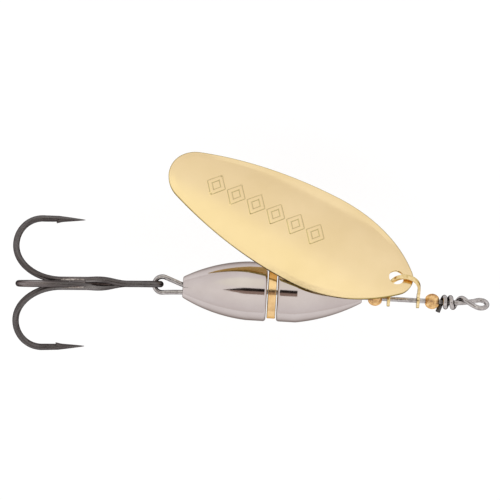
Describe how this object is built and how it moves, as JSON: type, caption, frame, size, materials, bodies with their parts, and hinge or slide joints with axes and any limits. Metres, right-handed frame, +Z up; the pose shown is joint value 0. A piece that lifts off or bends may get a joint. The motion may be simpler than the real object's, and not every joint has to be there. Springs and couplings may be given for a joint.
{
  "type": "inline spinner",
  "caption": "Inline spinner lure: dished blade spinning on a clevis, weighted two-part body and treble hook on a wire shaft.",
  "frame": {"origin": "centre of the line eye's opening, on the shaft's axis", "axes": "+X along the shaft towards the line, +Z up from the surface the lure lies on, +Y across, to the side on which the blade lies"},
  "size_m": [0.091, 0.0396, 0.0228],
  "materials": {
    "stainless_wire": "drawn stainless spring wire, satin",
    "bead_brass": "raw turned brass, mottled",
    "blade_gold": "polished pale gold plating",
    "body_nickel": "mirror nickel plating, faintly warm",
    "ring_brass": "turned brass, satin",
    "hook_steel": "dark bronzed steel"
  },
  "bodies": {
    "shaft": {"shaft_wire": "stainless_wire"},
    "front_bead": {"front_bead": "bead_brass"},
    "clevis": {"clevis": "blade_gold"},
    "blade": {"blade": "blade_gold"},
    "rear_bead": {"rear_bead": "bead_brass"},
    "front_body": {"front_body": "body_nickel"},
    "band_ring": {"band_ring": "ring_brass"},
    "rear_body": {"rear_body": "body_nickel"},
    "treble": {"double_hook": "hook_steel", "single_hook": "hook_steel", "hook_braze": "hook_steel"}
  },
  "joints": [
    {"name": "clevis_spin", "type": "hinge", "parent": "shaft", "child": "clevis", "pos_m": [0, 0, 0], "axis": [1, 0, 0], "continuous": true},
    {"name": "blade_flare", "type": "hinge", "parent": "clevis", "child": "blade", "pos_m": [-0.01405, 0.00227, 0.002], "axis": [0, 0.6613, -0.7501], "range_deg": [0, 80]},
    {"name": "front_bead_spin", "type": "hinge", "parent": "shaft", "child": "front_bead", "pos_m": [0, 0, 0], "axis": [1, 0, 0], "continuous": true},
    {"name": "rear_bead_spin", "type": "hinge", "parent": "shaft", "child": "rear_bead", "pos_m": [0, 0, 0], "axis": [1, 0, 0], "continuous": true},
    {"name": "front_body_spin", "type": "hinge", "parent": "shaft", "child": "front_body", "pos_m": [0, 0, 0], "axis": [1, 0, 0], "continuous": true},
    {"name": "band_ring_spin", "type": "hinge", "parent": "shaft", "child": "band_ring", "pos_m": [0, 0, 0], "axis": [1, 0, 0], "continuous": true},
    {"name": "rear_body_spin", "type": "hinge", "parent": "shaft", "child": "rear_body", "pos_m": [0, 0, 0], "axis": [1, 0, 0], "continuous": true},
    {"name": "treble_swing", "type": "hinge", "parent": "shaft", "child": "treble", "pos_m": [-0.0614, 0.00025, 0], "axis": [-0.0471, 0.9989, 0], "range_deg": [-105, 105]}
  ]
}
